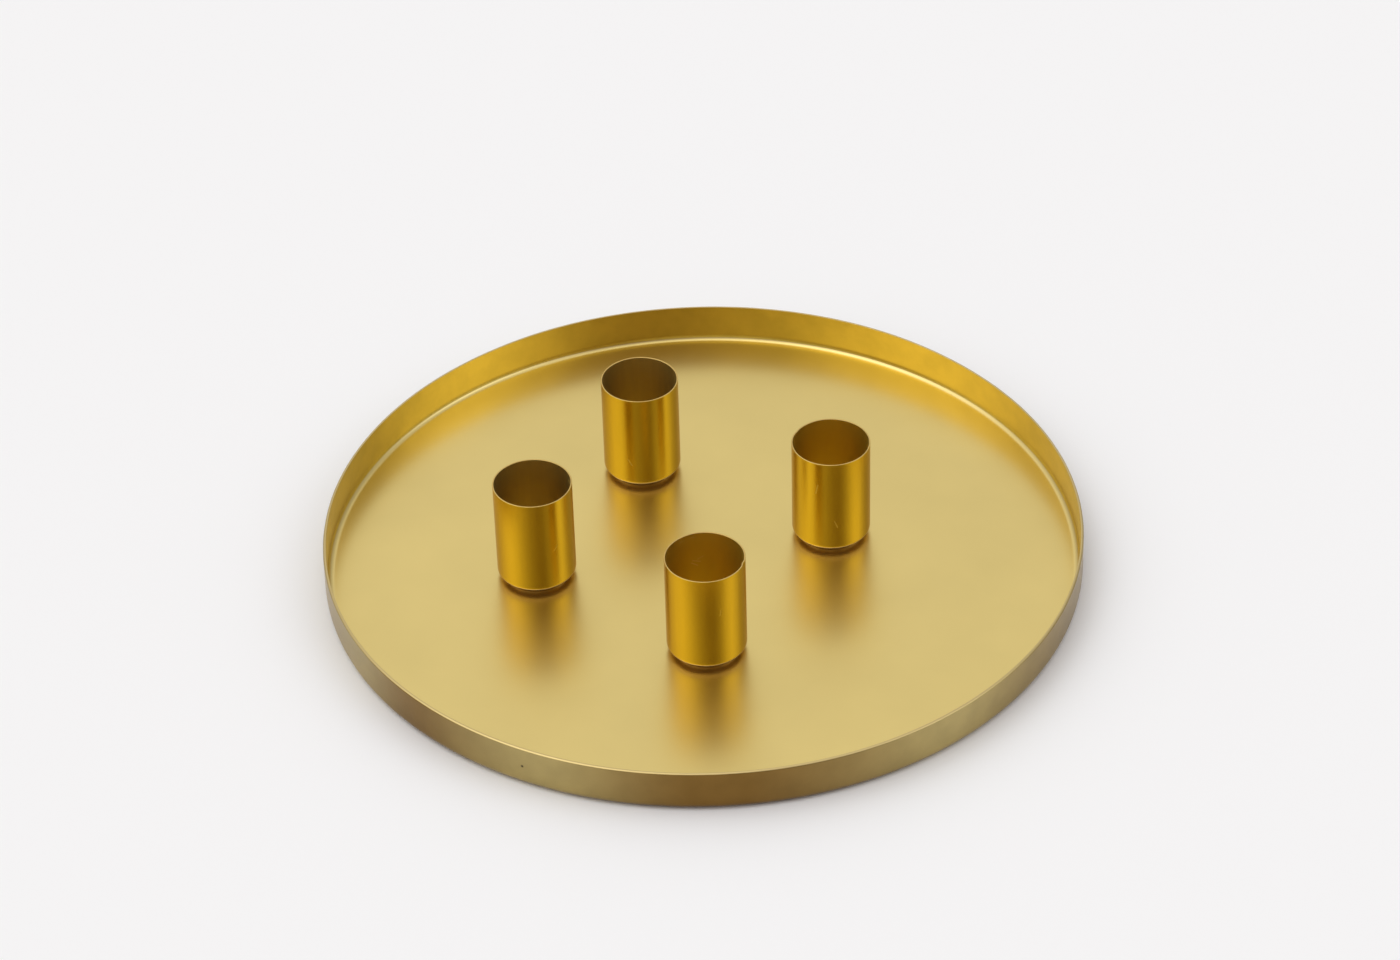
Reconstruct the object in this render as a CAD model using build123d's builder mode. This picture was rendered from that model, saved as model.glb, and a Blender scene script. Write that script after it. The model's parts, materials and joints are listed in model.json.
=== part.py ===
"""A round gold tray with four magnetic candle cups that stand loose on its floor.

Millimetres, +Z up. The origin is the centre of the tray's underside, and +Y points to the back of the tray.
Each cup stands on a magnet disc that is glued to its bottom, and slides about on the tray's floor.
"""

import os
from math import cos, radians, sin

from build123d import *

# The tray is pressed from one sheet, with an upright rim.
tray_diameter = 240.0
tray_height = 14.0
tray_sheet = 0.9
tray_bend = 2.0  # inside radius between the floor and the rim
tray_edge_round = tray_sheet * 2 / 3  # the rim's outer edge, rolled over by the trimming die
tray_edge_break = tray_sheet / 9  # the rim's inner edge, only deburred

# Each cup takes a standard slim candle, which stands on the cup's closed bottom.
candle_diameter = 22.0
candle_clearance = 1.0  # all round the candle
cup_wall = 0.45
cup_height = 33.6
cup_bend = 1.05  # inside radius between the cup's bottom and its wall
cup_edge_round = cup_wall / 3

# A magnet under each cup holds it to the steel floor, with a thin disc of adhesive between them.
magnet_diameter = 20.0
magnet_thickness = 1.5
magnet_edge_round = 0.3
adhesive_thickness = 0.15
adhesive_inset = 0.5  # how far the adhesive stops short of the magnet's edge

# Where each cup stands: the reach from the tray's centre to the cup's axis, and the bearing from +X.
left_cup_reach = 53.1
left_cup_bearing = 186.5
back_cup_reach = 51.2
back_cup_bearing = 111.9
right_cup_reach = 42.4
right_cup_bearing = 14.9
front_cup_reach = 45.5
front_cup_bearing = 270.3
cup_places = {
    "left": (left_cup_reach, left_cup_bearing),
    "back": (back_cup_reach, back_cup_bearing),
    "right": (right_cup_reach, right_cup_bearing),
    "front": (front_cup_reach, front_cup_bearing),
}

tray_radius = tray_diameter / 2
cup_radius = candle_diameter / 2 + candle_clearance + cup_wall
magnet_radius = magnet_diameter / 2
adhesive_radius = magnet_radius - adhesive_inset

# Heights of the seats, from the surface that the tray stands on.
floor_top = tray_sheet
magnet_top = floor_top + magnet_thickness
cup_bottom = magnet_top + adhesive_thickness

os.makedirs("parts", exist_ok=True)

# Tray: a disc with its lower edge bent round, hollowed from the top to the thickness of the sheet.
with BuildPart() as tray:
    with BuildSketch():
        Circle(tray_radius)
    extrude(amount=tray_height)
    fillet(tray.edges().group_by(Axis.Z)[0], tray_bend + tray_sheet)
    offset(amount=-tray_sheet, openings=tray.faces().sort_by(Axis.Z)[-1])
    inner_edge, outer_edge = tray.edges().group_by(Axis.Z)[-1].sort_by(SortBy.LENGTH)
    fillet(outer_edge, tray_edge_round)
    fillet(inner_edge, tray_edge_break)
tray.part.label = "tray"
export_step(tray.part, "parts/tray.step")

for side, (reach, bearing) in cup_places.items():
    axis_x = reach * cos(radians(bearing))
    axis_y = reach * sin(radians(bearing))

    # Magnet: a plated disc that stands on the tray's floor.
    with BuildPart() as magnet:
        with BuildSketch(Plane((axis_x, axis_y, floor_top))):
            Circle(magnet_radius)
        extrude(amount=magnet_thickness)
        fillet(magnet.edges().filter_by(GeomType.CIRCLE), magnet_edge_round)
    magnet.part.label = f"magnet_{side}"
    export_step(magnet.part, f"parts/magnet_{side}.step")

    # Adhesive: a thin disc between the magnet and the cup's bottom.
    with BuildPart() as adhesive:
        with BuildSketch(Plane((axis_x, axis_y, magnet_top))):
            Circle(adhesive_radius)
        extrude(amount=adhesive_thickness)
    adhesive.part.label = f"adhesive_disc_{side}"
    export_step(adhesive.part, f"parts/adhesive_disc_{side}.step")

    # Cup: drawn from one sheet, closed at the bottom and open at the top.
    with BuildPart() as cup:
        with BuildSketch(Plane((axis_x, axis_y, cup_bottom))):
            Circle(cup_radius)
        extrude(amount=cup_height)
        fillet(cup.edges().group_by(Axis.Z)[0], cup_bend + cup_wall)
        offset(amount=-cup_wall, openings=cup.faces().sort_by(Axis.Z)[-1])
        fillet(cup.edges().group_by(Axis.Z)[-1], cup_edge_round)
    cup.part.label = f"candle_cup_{side}"
    export_step(cup.part, f"parts/candle_cup_{side}.step")
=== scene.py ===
"""Looks of the candle plate: satin gold tray and cups, nickel magnets, a pale floor and soft studio light."""

import json
from math import cos, log, pi, radians, sin, tau

import bpy
import numpy as np
from mathutils import Matrix, Vector


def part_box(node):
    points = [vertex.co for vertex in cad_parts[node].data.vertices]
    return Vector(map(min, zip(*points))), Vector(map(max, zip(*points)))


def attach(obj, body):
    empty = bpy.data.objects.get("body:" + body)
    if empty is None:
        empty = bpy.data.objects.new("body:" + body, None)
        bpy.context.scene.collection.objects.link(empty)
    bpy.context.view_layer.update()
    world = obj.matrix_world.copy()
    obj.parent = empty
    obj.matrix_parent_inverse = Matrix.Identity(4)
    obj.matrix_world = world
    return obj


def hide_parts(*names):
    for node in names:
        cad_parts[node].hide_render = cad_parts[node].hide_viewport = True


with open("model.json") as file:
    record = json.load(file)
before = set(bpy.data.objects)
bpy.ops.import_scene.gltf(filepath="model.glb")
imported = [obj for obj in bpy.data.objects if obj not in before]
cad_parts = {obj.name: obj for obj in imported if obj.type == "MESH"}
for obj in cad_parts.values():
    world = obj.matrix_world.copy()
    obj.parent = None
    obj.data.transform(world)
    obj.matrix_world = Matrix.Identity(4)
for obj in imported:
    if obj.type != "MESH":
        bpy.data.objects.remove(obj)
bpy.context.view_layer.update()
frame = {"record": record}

MM = 0.001

# Camera: where it stands, the point that it looks at, and how far it leans over.
CAMERA_DISTANCE = 1257.6 * MM  # from the middle of the tray's floor
CAMERA_ELEVATION = radians(38.341)
CAMERA_AIM = Vector((-0.5, 39.4, 0)) * MM  # from the middle of the tray's floor
CAMERA_LEAN = radians(1.655)
CAMERA_LENS = 101.77
CAMERA_SENSOR = 36
CAMERA_REACH = 100  # metres that it sees

# Soft light from all round, set to the reflections in the photo: an even level, and lobes that add to it
# or take from it. A lobe has its bearing (0 is the camera's side, + is to the right), elevation and half
# width in degrees, and its RGB strength. The camera's side is dark and a little warm, and the right panel
# a little blue.
TENT_LEVEL = (0.37, 0.37, 0.37)
TENT_LOBES = {
    "overhead": (-90, 77, 28, (0.88, 0.88, 0.88)),
    "backdrop": (180, 36, 32, (0.44, 0.44, 0.44)),
    "left panel": (-76, 38, 29, (0.85, 0.86, 0.87)),
    "right panel": (75, 38, 19, (1.25, 1.31, 1.43)),
    "top left panel": (-76, 68, 14, (0.60, 0.60, 0.60)),
    "low front": (0, 8, 14, (0.62, 0.64, 0.58)),
    "camera side": (15, 33, 29, (-0.320, -0.390, -0.395)),
    "left corner": (-122, 36, 18, (-0.08, -0.10, -0.10)),
    "right corner": (122, 36, 15, (-0.14, -0.16, -0.17)),
}
FLOOR_SIZE = 12.0
FLOOR_COLOUR = (0.950, 0.945, 0.936, 1)
FLOOR_ROUGHNESS = 0.9

# Sizes that the boxes of the nodes don't give.
TRAY_BEND = 2.0 * MM  # inside radius between the floor and the rim
CUP_BEND = 1.05 * MM
MAGNET_EDGE = 0.3 * MM

# Colours of the gold, by zone of the sheet.
TRAY_COLOURS = {
    "floor": (0.750, 0.585, 0.220, 1),
    "wall": (0.770, 0.580, 0.105, 1),
    "edge": (0.600, 0.460, 0.200, 1),
    # the outside is painted darker and browner than the inside: painted reflection of dark surroundings
    "outside": (0.500, 0.400, 0.165, 1),
    # painted reflection: a dark brown laid over the outside in stretches round the tray
    "painted_reflection": (0.215, 0.120, 0.030, 1),
    "underside": (0.360, 0.250, 0.090, 1),
}
CUP_COLOURS = {
    "floor": (0.710, 0.550, 0.180, 1),
    "wall": (0.710, 0.550, 0.180, 1),
    "edge": (0.660, 0.460, 0.150, 1),
    # pale bottom bend: wear, and a painted highlight of the bright line along the cup's foot
    "worn_and_highlight": (0.950, 0.800, 0.550, 1),
    "underside": (0.850, 0.620, 0.120, 1),
    # painted light: a lighter inside wall for two of the cups
    "painted light wall": (0.850, 0.640, 0.100, 1),
    "outside": (0.658, 0.455, 0.037, 1),
}

# Other colours, the gold's roughness, and the painted reflection on the tray's outside.
NICKEL_AND_PAINTED_SHADE_COLOURS = ((0.46, 0.32, 0.15, 1), (0.56, 0.42, 0.24, 1))  # darker and browner than clean nickel: painted shade and painted reflection of the gold round it
GLUE_COLOURS = ((0.72, 0.66, 0.50, 1), (0.84, 0.81, 0.70, 1))
PIT_COLOUR = (0.05, 0.035, 0.02, 1)
SCUFF_COLOUR = (1.0, 0.80, 0.28, 1)
CUP_GRAZING = (0.85, 0.76, 0.75, 1)  # tint of what a cup mirrors at a flat angle
TRAY_ROUGHNESS = 0.295
CUP_ROUGHNESS = 0.24  # outside
CUP_INSIDE_ROUGHNESS = 0.4
TRAY_PAINTED_REFLECTION = 0.55  # mean share of the painted reflection's dark brown on the tray's outside
PAINTED_REFLECTION_SWING = 0.12  # how far that share goes up and down round the tray
PAINTED_REFLECTION_STRETCHES = (  # lighter and darker stretches of painted reflection: bearing from +X, half width in degrees, share added
    (207, 8, -0.25),
    (222, 9, 0.40),
    (245, 12, -0.45),
    (271, 17, 0.55),
    (305, 12, -0.40),
)

# Grain of the upright walls: the size of its features, how far they are drawn out, their depth and their
# swing in tone.
TRAY_GRAIN = (8 * MM, (1, 1, 1), 0.08 * MM, 0.05)
CUP_GRAIN = (1.1 * MM, (1, 1, 30), 0.004 * MM, 0.02)
CLOUD_SIZE = 38 * MM  # patches of uneven tone
SHEEN_SIZE = 60 * MM  # patches of uneven roughness
SPECK_SIZE = 0.35 * MM  # fine specks of roughness
HAIRLINES = (  # size, how far drawn out, turn in degrees, noise where they begin, noise where they are full
    (0.4 * MM, (80, 1, 80), 27, 0.66, 0.76),
    (0.3 * MM, (90, 1, 90), 118, 0.67, 0.77),
)
NICKEL_CLOUD = 4 * MM
NICKEL_SCRATCH = 0.25 * MM
GLUE_LUMP = 1.5 * MM

# Small faults of the pressed sheet, in millimetres and in degrees from +X.
TRAY_WAVE = 0.10 * MM  # how far the rim leaves a true circle
TRAY_RIPPLE = 0.02 * MM  # finer ripples of its wall
CUP_WAVE = 0.02 * MM
WAVE_HEIGHT = 25 * MM  # least height in which a wave drifts by its own length
GLUE_CREEP = 0.25 * MM  # how far the glue's edge leaves a true circle
RIM_DENTS = {"front": (-17, 4, 0.30), "right": (150, 6, 0.12)}  # bearing, half width, depth
DENT_REACH = 1.6 * MM  # how far below the rim a dent fades out
PAINTED_LIGHT_INSIDE = ("front", "right")  # cups whose inside wall is painted lighter: painted light on the same finish as the others
SCUFFS = (  # cup, whether inside, bearing, height above the cup's bottom, length, lean from upright, paleness
    ("right", False, 245, 22.0, 3.5, 12, 0.25),
    ("right", False, 277, 9.0, 2.6, -20, 0.25),
    ("left", False, 300, 15.0, 2.2, 35, 0.15),
    ("back", False, 255, 8.0, 2.4, -30, 0.25),
    ("front", False, 290, 20.0, 2.0, 8, 0.15),
    ("left", True, 6, 31.3, 3.4, 97, 1.0),
    ("front", True, 110, 22.4, 2.4, -124, 1.0),
    ("front", True, 108, 23.2, 2.6, -107, 1.0),
    ("front", True, 100, 23.5, 2.0, -60, 0.7),
    ("front", True, 129, 31.9, 5.0, -86, 0.5),
)
SCUFF_WIDTH = 0.26 * MM
SCUFF_DEPTH = 0.01 * MM
PIT_BEARING = 242.5  # in the lacquer on the outside of the tray's rim
PIT_HEIGHT = 7.5 * MM
PIT_WIDTH = 0.6 * MM
PIT_DEPTH = 0.03 * MM
MARK_ROUGHNESS = 0.3  # added in a scuff or pit

# Where the random draws of each kind of piece begin.
TRAY_SEED = 3
PAINTED_REFLECTION_SEED = 4
CUP_SEED = 20
GLUE_SEED = 40

# Faces round each kind of piece.
TRAY_STEPS = 480
CUP_STEPS = 180
DISC_STEPS = 144

SIDES = ("left", "back", "right", "front")
BORES = {m["name"]: m["dims"] for m in frame["record"]["mounts"] if m["kind"] == "bore"}
tray_low, tray_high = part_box("tray")
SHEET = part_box("magnet_left")[0].z  # the magnets stand on the tray's floor
TRAY_RADIUS = min(tray_high.x, tray_high.y, -tray_low.x, -tray_low.y)  # stays inside the tray's box
TRAY_HEIGHT = tray_high.z
TRAY_OUTER_EDGE = SHEET * 2 / 3  # radii of the rim's edges
TRAY_INNER_EDGE = SHEET / 9


# Shapes.


def arc(middle_r, middle_z, radius, start, end, steps):
    """Points of an arc in the (radius, height) plane, from one angle to another in degrees."""
    angles = np.radians(np.linspace(start, end, steps + 1))
    return [(middle_r + radius * cos(a), middle_z + radius * sin(a)) for a in angles]


def spread(start, end, shares):
    """Points between two, at the given shares of the way."""
    return [tuple(np.add(start, np.multiply(np.subtract(end, start), s))) for s in shares]


def zoned(points, zone):
    """Points of an outline with the name of their zone."""
    return [(r, z, zone) for r, z in points]


def pressed_outline(radius, low, height, sheet, bend, outer_edge, inner_edge, bend_zone, inside):
    """Half section of a round vessel pressed from sheet, as points with their zones.

    It goes from the axis underneath, out, up, over the rim and back to the axis on the floor.
    """
    outer = bend + sheet
    top = low + height
    floor = low + sheet
    inner = radius - sheet
    rises = (0.02, 0.08, 0.2, 0.35, 0.5, 0.65, 0.78, 0.87, 0.93, 0.97, 0.99, 0.998)
    under = spread((0, low), (radius - outer, low), (0, 0.3, 0.6, 0.85, 0.97, 0.995))
    lower = arc(radius - outer, low + outer, outer, -90, 0, 12)
    wall_out = spread((radius, low + outer), (radius, top - outer_edge), rises)
    roll = arc(radius - outer_edge, top - outer_edge, outer_edge, 0, 90, 8)
    inner_lip = arc(inner + inner_edge, top - inner_edge, inner_edge, 90, 180, 4)
    wall_in = spread((inner, floor + bend), (inner, top - inner_edge), rises)[::-1]
    upper = arc(inner - bend, floor + bend, bend, 0, -90, 12)
    floor_in = spread((inner - bend, floor), (0, floor), (0.004, 0.02, 0.06, 0.15, 0.3, 0.5, 0.7, 0.9, 1))
    return (
        zoned(under + lower[:4], "underside")
        + zoned(lower[4:10], bend_zone)
        + zoned(lower[10:] + wall_out + roll[:4], "outside")
        + zoned(roll[4:] + inner_lip, "edge")
        + zoned(wall_in + upper[:5], inside)
        + zoned(upper[5:] + floor_in, "floor")
    )


def disc_outline(radius, low, high, edge):
    """Half section of a disc with rounded edges, from the axis underneath to the axis on top."""
    under = spread((0, low), (radius - edge, low), (0, 0.5, 0.9, 0.99))
    lower = arc(radius - edge, low + edge, edge, -90, 0, 5)
    upper = arc(radius - edge, high - edge, edge, 0, 90, 5)
    over = spread((radius - edge, high), (0, high), (0.01, 0.1, 0.5, 1))
    return zoned(under + lower + upper + over, "outside")


def waves(counts, depth, rng):
    """A smooth random function of the angle round an axis and the height, from -depth to depth."""
    weights = rng.uniform(0.5, 1, len(counts))
    weights *= depth / weights.sum()
    phases = rng.uniform(0, tau, len(counts))
    climbs = rng.uniform(-1, 1, len(counts)) * tau / WAVE_HEIGHT
    return lambda a, z: sum(
        w * np.sin(n * a + k * z + p) for n, w, k, p in zip(counts, weights, climbs, phases)
    )


def bump_at(a, bearing, half_width):
    """A soft bump of height 1 in the angle round an axis, at a bearing in degrees."""
    turn = (a - radians(bearing) + pi) % tau - pi
    return np.exp(-((turn / radians(half_width)) ** 2))


def tray_painted_reflection(rng):
    """Share of painted reflection on the tray's outside by angle: uneven, with lighter and darker stretches.
    """
    swing = waves((4, 6, 8, 11), PAINTED_REFLECTION_SWING, rng)

    def share(a):
        added = sum(depth * bump_at(a, bearing, width) for bearing, width, depth in PAINTED_REFLECTION_STRETCHES)
        return np.clip(TRAY_PAINTED_REFLECTION + swing(a, 0) + added, 0, 1)

    return share


def tray_shape(rng):
    """How the tray's rim leaves a true circle. The wall only moves inwards, so the tray keeps its size."""
    wave = waves((2, 3, 5, 8, 13), TRAY_WAVE, rng)
    ripple = waves((34, 41, 47, 55, 62), TRAY_RIPPLE, rng)
    start = SHEET + TRAY_BEND

    def shape(r, z, a):
        rise = np.clip((z - start) / (TRAY_HEIGHT - start), 0, 1)
        swing = wave(a, 0 * z) - TRAY_WAVE + ripple(a, z) - TRAY_RIPPLE
        return r + rise * swing, z + rise**4 * (wave(a + 1, 0 * z) - TRAY_WAVE) / 3

    return shape


def cup_shape(side, low, top, rng):
    """How a cup's wall leaves a true cylinder: a little out of round, with a dent in some rims."""
    wave = waves((2, 3, 4, 6), CUP_WAVE, rng)
    start = low + 2 * CUP_BEND

    def shape(r, z, a):
        rise = np.clip((z - start) / (top - start), 0, 1)
        push = rise * (wave(a, z) - CUP_WAVE)
        if side in RIM_DENTS:
            bearing, half_width, depth = RIM_DENTS[side]
            fade = np.exp(-(((top - z) / DENT_REACH) ** 2))
            push = push - rise * depth * MM * fade * bump_at(a, bearing, half_width)
        return r + push, z

    return shape


def lathe(name, outline, middle, turns, shape=None, painted_reflection_share=None):
    """A closed solid of revolution about an upright axis through middle, with its zones as attributes.

    Shape moves its surface a little. The last argument is the share of painted reflection on its outside, by
    angle.
    """
    angles = np.arange(turns) * tau / turns
    points, rings, zones, painted_reflection = [], [], [], []
    for r, z, zone in outline:
        a = angles if r > 0 else angles[:1]
        ring_r, ring_z = np.full(len(a), r), np.full(len(a), z)
        if shape and r > 0:
            ring_r, ring_z = shape(ring_r, ring_z, a)
        rings.append(range(len(points), len(points) + len(a)))
        points += zip(middle.x + ring_r * np.cos(a), middle.y + ring_r * np.sin(a), ring_z)
        zones += [zone] * len(a)
        painted_reflection += list(painted_reflection_share(a)) if painted_reflection_share and zone == "outside" else [0.0] * len(a)
    faces = []
    for one, two in zip(rings, rings[1:]):
        for k in range(turns):
            n = (k + 1) % turns
            if len(one) == 1:
                faces.append((one[0], two[n], two[k]))
            elif len(two) == 1:
                faces.append((one[k], one[n], two[0]))
            else:
                faces.append((one[k], one[n], two[n], two[k]))
    mesh = bpy.data.meshes.new(name)
    mesh.from_pydata([tuple(map(float, p)) for p in points], [], faces)
    mesh.polygons.foreach_set("use_smooth", [True] * len(mesh.polygons))
    shares = {zone: [float(z == zone) for z in zones] for zone in dict.fromkeys(zones)}
    shares["painted_reflection"] = painted_reflection
    for zone, values in shares.items():
        mesh.attributes.new(zone, "FLOAT", "POINT").data.foreach_set("value", values)
    mesh.update()
    piece = bpy.data.objects.new(name, mesh)
    bpy.context.scene.collection.objects.link(piece)
    return piece


def glue_shape(rng):
    """How the glue creeps out unevenly from under a cup."""
    creep = waves((3, 5, 7, 11), GLUE_CREEP, rng)
    return lambda r, z, a: (r + creep(a, 0), z)


def on_wall(middle, radius, bearing, height):
    """A point on an upright wall round an axis, at a bearing in degrees."""
    b = radians(bearing)
    return Vector((middle.x + radius * cos(b), middle.y + radius * sin(b), height))


# Materials.


class Nodes:
    """The nodes of a material or world, added and joined by short calls."""

    def __init__(self, tree):
        self.tree = tree
        self.coordinates = self.add("TexCoord").outputs

    def add(self, kind, inputs=None, **settings):
        """A new node with its settings, and its inputs set to values or joined to other nodes' outputs."""
        node = self.tree.nodes.new("ShaderNode" + kind)
        for name, value in settings.items():
            setattr(node, name, value)
        for socket, value in (inputs or {}).items():
            self.set(node.inputs[socket], value)
        return node

    def set(self, socket, value):
        if isinstance(value, bpy.types.NodeSocket):
            self.tree.links.new(value, socket)
        else:
            socket.default_value = value

    def noise(self, size, stretch=(1, 1, 1), turn=0, detail=2):
        """Noise from 0 to 1 with features of a size in metres, drawn out along its axes by stretch."""
        scale = [size * s for s in stretch]
        place = self.add(
            "Mapping",
            {"Vector": self.coordinates["Object"], "Rotation": (0, 0, radians(turn)), "Scale": scale},
            vector_type="TEXTURE",
        )
        return self.add(
            "TexNoise", {"Vector": place.outputs[0], "Scale": 1, "Detail": detail}
        ).outputs["Fac"]

    def ramp(self, value, start, end, low=0.0, high=1.0):
        """A value taken from one range to another, and held at its ends."""
        return self.add(
            "MapRange",
            {"Value": value, "From Min": start, "From Max": end, "To Min": low, "To Max": high},
        ).outputs[0]

    def sum(self, one, two, weight=1.0):
        """One value plus a share of another."""
        return self.add("Math", {0: two, 1: weight, 2: one}, operation="MULTIPLY_ADD").outputs[0]

    def blend(self, share, one, two):
        """A colour between two, by a share from 0 to 1."""
        node = self.add("Mix", data_type="RGBA")
        for index, value in ((0, share), (6, one), (7, two)):
            self.set(node.inputs[index], value)
        return node.outputs[2]

    def product(self, one, two):
        return self.add("Math", {0: one, 1: two}, operation="MULTIPLY").outputs[0]

    def attribute(self, name):
        return self.add("Attribute", attribute_name=name).outputs["Fac"]

    def scale(self, colour, share):
        return self.add("VectorMath", {0: colour, "Scale": share}, operation="SCALE").outputs[0]

    def mark(self, start, end, width):
        """1 on a short straight mark between two points of the surface, and 0 beyond its width."""
        along = end - start
        away = self.add(
            "VectorMath", {0: self.coordinates["Object"], 1: start}, operation="SUBTRACT"
        ).outputs[0]
        share = self.add(
            "VectorMath", {0: away, 1: along / max(along.length_squared, width**2)}, operation="DOT_PRODUCT"
        ).outputs["Value"]
        share = self.ramp(share, 0, 1)
        nearest = self.scale(along, share)
        distance = self.add("VectorMath", {0: away, 1: nearest}, operation="DISTANCE").outputs["Value"]
        return self.ramp(distance, width, 0.3 * width)


def new_material(name):
    """A material, its nodes and its shader."""
    material = bpy.data.materials.new(name)
    material.use_nodes = True
    return material, Nodes(material.node_tree), material.node_tree.nodes["Principled BSDF"]


def satin_gold(
    name, colours, roughness, inside_roughness, grain, grazing=(1, 1, 1, 1), scuffs=(), pits=()
):
    """Satin gold lacquer on pressed steel, with its grain, cloudy tone, hairlines, scuffs and pits."""
    material, nodes, shader = new_material(name)
    size, stretch, depth, swing = grain
    outside = nodes.attribute("outside")
    upright = nodes.sum(outside, nodes.attribute("wall"))
    ripple = nodes.noise(size, stretch, detail=3)

    colour = colours["floor"]
    for zone in list(colours)[1:]:
        colour = nodes.blend(nodes.attribute(zone), colour, colours[zone])
    tone = nodes.sum(1.0, nodes.ramp(ripple, 0.35, 0.65, -swing, swing), upright)
    cloud = nodes.ramp(nodes.noise(CLOUD_SIZE, detail=3), 0.3, 0.7, 0.97, 1.03)
    colour = nodes.scale(colour, nodes.product(tone, cloud))

    hairs = 0.0
    for width, drawn_out, turn, begin, full in HAIRLINES:
        hairs = nodes.sum(hairs, nodes.ramp(nodes.noise(width, drawn_out, turn, 1), begin, full))
    rough = nodes.ramp(outside, 0, 1, inside_roughness, roughness)
    rough = nodes.sum(rough, nodes.ramp(nodes.noise(SHEEN_SIZE), 0.3, 0.7, -0.015, 0.015))
    rough = nodes.sum(rough, nodes.noise(SPECK_SIZE), 0.01)
    rough = nodes.sum(rough, hairs, 0.01)

    height = nodes.product(nodes.product(ripple, upright), depth)
    for start, end, paleness in scuffs:
        scuff = nodes.mark(start, end, SCUFF_WIDTH)
        colour = nodes.blend(nodes.product(scuff, paleness), colour, SCUFF_COLOUR)
        rough = nodes.sum(rough, scuff, MARK_ROUGHNESS)
        height = nodes.sum(height, scuff, -SCUFF_DEPTH)
    for place in pits:
        pit = nodes.mark(place, place, PIT_WIDTH)
        colour = nodes.blend(pit, colour, PIT_COLOUR)
        rough = nodes.sum(rough, pit, MARK_ROUGHNESS)
        height = nodes.sum(height, pit, -PIT_DEPTH)
    bump = nodes.add("Bump", {"Strength": 1, "Distance": 1, "Height": height})
    shader.inputs["Metallic"].default_value = 1
    shader.inputs["Specular Tint"].default_value = grazing
    nodes.set(shader.inputs["Base Color"], colour)
    nodes.set(shader.inputs["Roughness"], rough)
    nodes.set(shader.inputs["Normal"], bump.outputs[0])
    return material


def nickel_plate():
    """Nickel on a magnet, painted darker and browner as shade under the cup, a little cloudy, with fine
    scratches from sliding.
    """
    material, nodes, shader = new_material("magnet_nickel")
    cloud = nodes.noise(NICKEL_CLOUD)
    scratches = nodes.ramp(nodes.noise(NICKEL_SCRATCH, (30, 1, 30), 40), 0.6, 0.75)
    rough = nodes.sum(nodes.ramp(cloud, 0.3, 0.7, 0.38, 0.5), scratches, 0.1)
    bump = nodes.add("Bump", {"Strength": 0.2, "Distance": 0.01 * MM, "Height": scratches})
    shader.inputs["Metallic"].default_value = 1
    # painted shade: the nickel's colours are darkened and browned as under the cup
    nodes.set(shader.inputs["Base Color"], nodes.blend(cloud, *NICKEL_AND_PAINTED_SHADE_COLOURS))
    nodes.set(shader.inputs["Roughness"], rough)
    nodes.set(shader.inputs["Normal"], bump.outputs[0])
    return material


def set_glue():
    """Set glue: pale, a little yellowed and uneven."""
    material, nodes, shader = new_material("adhesive")
    cloud = nodes.noise(GLUE_LUMP)
    bump = nodes.add("Bump", {"Strength": 0.4, "Distance": 0.05 * MM, "Height": cloud})
    nodes.set(shader.inputs["Base Color"], nodes.blend(cloud, *GLUE_COLOURS))
    nodes.set(shader.inputs["Roughness"], nodes.ramp(cloud, 0.3, 0.7, 0.3, 0.55))
    nodes.set(shader.inputs["Normal"], bump.outputs[0])
    return material


# Stage.


def add_camera():
    middle = Vector((0, 0, SHEET))
    place = middle + Vector((0, -cos(CAMERA_ELEVATION), sin(CAMERA_ELEVATION))) * CAMERA_DISTANCE
    turn = (middle + CAMERA_AIM - place).to_track_quat("-Z", "Y").to_matrix()
    camera = bpy.data.objects.new("camera", bpy.data.cameras.new("camera"))
    camera.data.lens = CAMERA_LENS
    camera.data.sensor_width = CAMERA_SENSOR
    camera.data.clip_end = CAMERA_REACH
    camera.matrix_world = Matrix.Translation(place) @ (turn @ Matrix.Rotation(-CAMERA_LEAN, 3, "Z")).to_4x4()
    bpy.context.scene.collection.objects.link(camera)
    bpy.context.scene.camera = camera


def add_floor():
    half = FLOOR_SIZE / 2
    mesh = bpy.data.meshes.new("floor")
    corners = [(-half, -half, 0), (half, -half, 0), (half, half, 0), (-half, half, 0)]
    mesh.from_pydata(corners, [], [(0, 1, 2, 3)])
    floor = bpy.data.objects.new("floor", mesh)
    material, _, shader = new_material("floor_paper")
    shader.inputs["Base Color"].default_value = FLOOR_COLOUR
    shader.inputs["Roughness"].default_value = FLOOR_ROUGHNESS
    mesh.materials.append(material)
    bpy.context.scene.collection.objects.link(floor)


def add_tent():
    """The world's light.

    A lobe is strength * exp(sharpness * (cosine - 1)), with the cosine of the angle from its middle.
    """
    world = bpy.data.worlds.new("tent")
    world.use_nodes = True
    bpy.context.scene.world = world
    nodes = Nodes(world.node_tree)
    total = TENT_LEVEL
    for bearing, elevation, half_width, strength in TENT_LOBES.values():
        b, e = radians(bearing), radians(elevation)
        middle = (sin(b) * cos(e), -cos(b) * cos(e), sin(e))
        sharpness = log(2) / (1 - cos(radians(half_width)))
        cosine = nodes.add(
            "VectorMath", {0: nodes.coordinates["Generated"], 1: middle}, operation="DOT_PRODUCT"
        ).outputs["Value"]
        fall = nodes.add(
            "Math", {0: cosine, 1: sharpness, 2: -sharpness}, operation="MULTIPLY_ADD"
        ).outputs[0]
        lobe = nodes.add("Math", {0: fall}, operation="EXPONENT").outputs[0]
        total = nodes.add(
            "VectorMath", {0: lobe, 1: strength, 2: total}, operation="MULTIPLY_ADD"
        ).outputs[0]
    nodes.set(world.node_tree.nodes["Background"].inputs["Color"], total)


# Pieces.


def dress(piece, material, body, node):
    """Gives a piece its material, and lets it stand for a node of the frame."""
    piece.data.materials.append(material)
    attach(piece, body)
    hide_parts(node)


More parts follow.
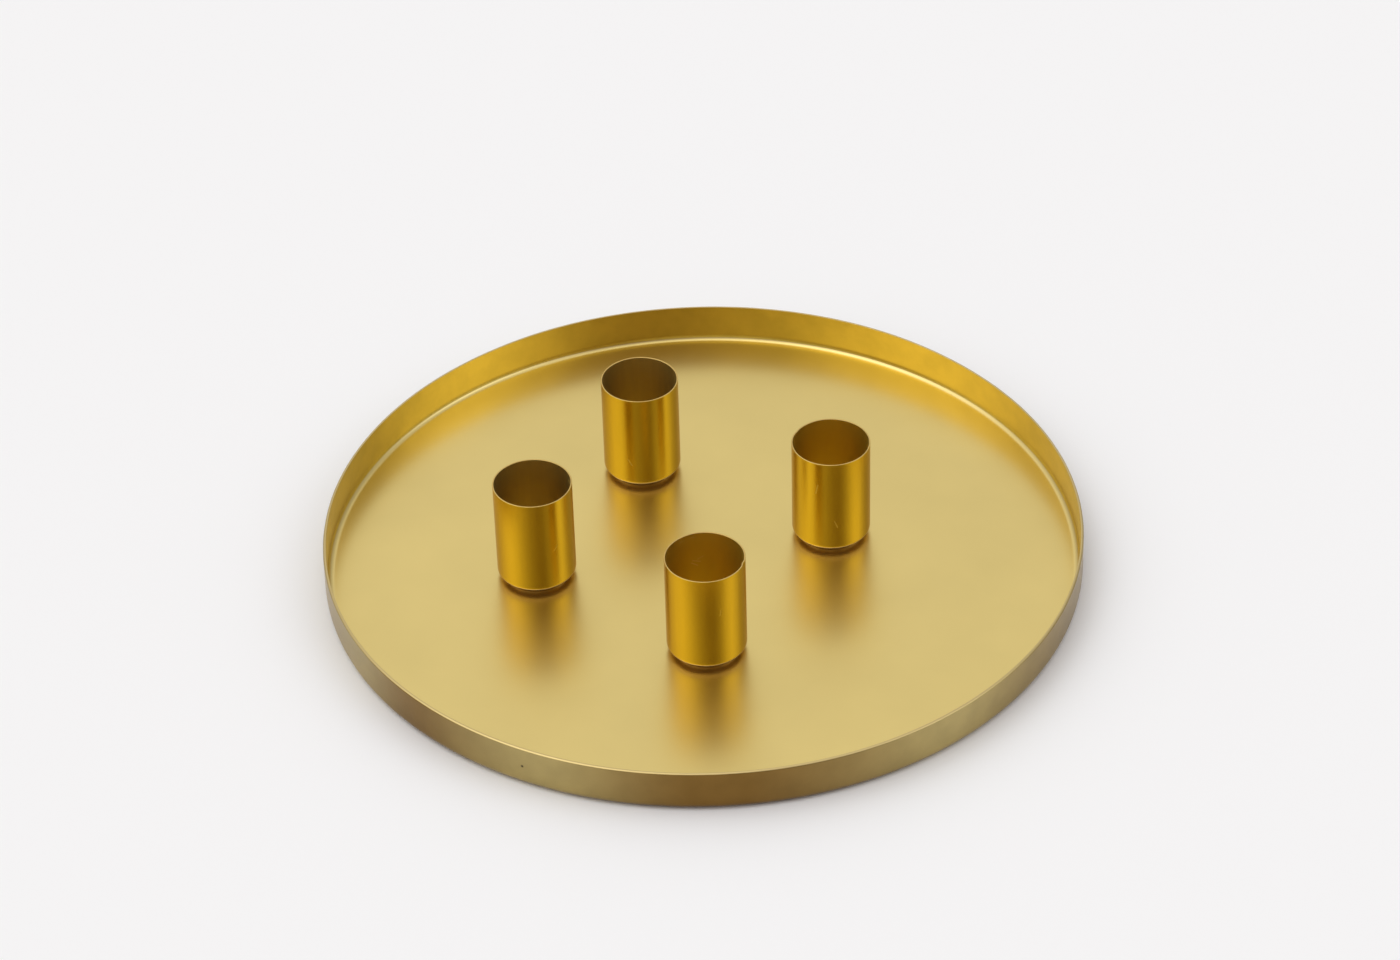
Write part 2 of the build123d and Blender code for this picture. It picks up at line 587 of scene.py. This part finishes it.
def cup_size(side):
    """The middle of a cup's axis, the cup's radius and wall, and the heights of its bottom and rim."""
    low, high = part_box(f"candle_cup_{side}")
    radius = (high.x - low.x) / 2
    wall = radius - BORES[f"candle_socket_{side}"]["r_mm"] * MM
    return (low + high) / 2, radius, wall, low.z, high.z


def scuff_ends(side, inside, bearing, height, length, lean, paleness):
    """The two ends of a scuff on a cup's wall, and its paleness."""
    middle, radius, wall, low, _ = cup_size(side)
    face = radius - wall if inside else radius
    rise = length * MM * cos(radians(lean))
    sweep = length * MM * sin(radians(lean)) / face * 180 / pi
    start = on_wall(middle, face, bearing, low + height * MM)
    return start, on_wall(middle, face, bearing + sweep, low + height * MM + rise), paleness


def add_tray():
    pit = on_wall(Vector(), TRAY_RADIUS, PIT_BEARING, PIT_HEIGHT)
    gold = satin_gold("tray_gold", TRAY_COLOURS, TRAY_ROUGHNESS, TRAY_ROUGHNESS, TRAY_GRAIN, pits=[pit])
    outline = pressed_outline(
        TRAY_RADIUS, 0, TRAY_HEIGHT, SHEET, TRAY_BEND, TRAY_OUTER_EDGE, TRAY_INNER_EDGE, "outside", "wall"
    )
    shape = tray_shape(np.random.default_rng(TRAY_SEED))
    # painted reflection: dark brown stretches on the tray's outside
    painted_reflection_share = tray_painted_reflection(np.random.default_rng(PAINTED_REFLECTION_SEED))
    tray = lathe("tray_dressed", outline, Vector(), TRAY_STEPS, shape, painted_reflection_share)
    dress(tray, gold, "tray", "tray")


def add_cup(side, gold, rng):
    middle, radius, wall, low, top = cup_size(side)
    # painted light: some cups get a lighter inside wall colour
    inside = "painted light wall" if side in PAINTED_LIGHT_INSIDE else "wall"
    edge = wall / 3
    # the bottom bend is worn and carries a painted highlight
    outline = pressed_outline(radius, low, top - low, wall, CUP_BEND, edge, edge, "worn_and_highlight", inside)
    shape = cup_shape(side, low, top, rng)
    cup = lathe(f"cup_{side}_dressed", outline, middle, CUP_STEPS, shape)
    dress(cup, gold, f"cup_{side}", f"candle_cup_{side}")


def add_magnet(side, nickel):
    low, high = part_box(f"magnet_{side}")
    outline = disc_outline((high.x - low.x) / 2, low.z, high.z, MAGNET_EDGE)
    magnet = lathe(f"magnet_{side}_dressed", outline, (low + high) / 2, DISC_STEPS)
    dress(magnet, nickel, f"cup_{side}", f"magnet_{side}")


def add_adhesive(side, glue, rng):
    low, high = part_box(f"adhesive_disc_{side}")
    outline = disc_outline((high.x - low.x) / 2, low.z, high.z, (high.z - low.z) / 3)
    middle = (low + high) / 2
    disc = lathe(f"adhesive_disc_{side}_dressed", outline, middle, DISC_STEPS, glue_shape(rng))
    dress(disc, glue, f"cup_{side}", f"adhesive_disc_{side}")


add_camera()
add_floor()
add_tent()
add_tray()
scuffs = [scuff_ends(*scuff) for scuff in SCUFFS]
cup_gold = satin_gold(
    "cup_gold", CUP_COLOURS, CUP_ROUGHNESS, CUP_INSIDE_ROUGHNESS, CUP_GRAIN, CUP_GRAZING, scuffs
)
nickel = nickel_plate()
glue = set_glue()
for number, side in enumerate(SIDES):
    add_cup(side, cup_gold, np.random.default_rng(CUP_SEED + number))
    add_magnet(side, nickel)
    add_adhesive(side, glue, np.random.default_rng(GLUE_SEED + number))

bpy.context.scene.view_settings.view_transform = "Standard"
